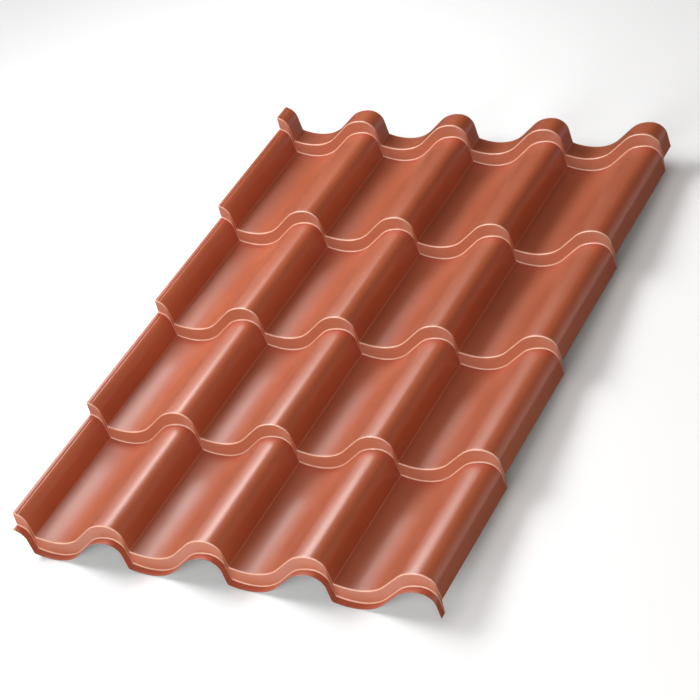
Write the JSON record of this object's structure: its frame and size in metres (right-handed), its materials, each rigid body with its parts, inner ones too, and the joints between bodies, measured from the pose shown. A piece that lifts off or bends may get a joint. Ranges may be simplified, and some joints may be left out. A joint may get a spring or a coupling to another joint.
{
  "type": "metal roof tile sheet",
  "caption": "Step-profiled coated steel roof tile sheet with asymmetric waves, pressed cross steps, a side-lap edge with a drip groove and a plain edge.",
  "frame": {"origin": "centre of the sheet's outline, on the level floor under its troughs", "axes": "+X across the sheet from the side-lap edge to the plain edge, +Y up the roof slope from eave end to ridge end, +Z out of the weather face"},
  "size_m": [1.0611, 1.475, 0.1197],
  "materials": {
    "coated_steel": "satin coil coating, terracotta"
  },
  "bodies": {
    "root": {"tile_sheet": "coated_steel"}
  },
  "joints": []
}
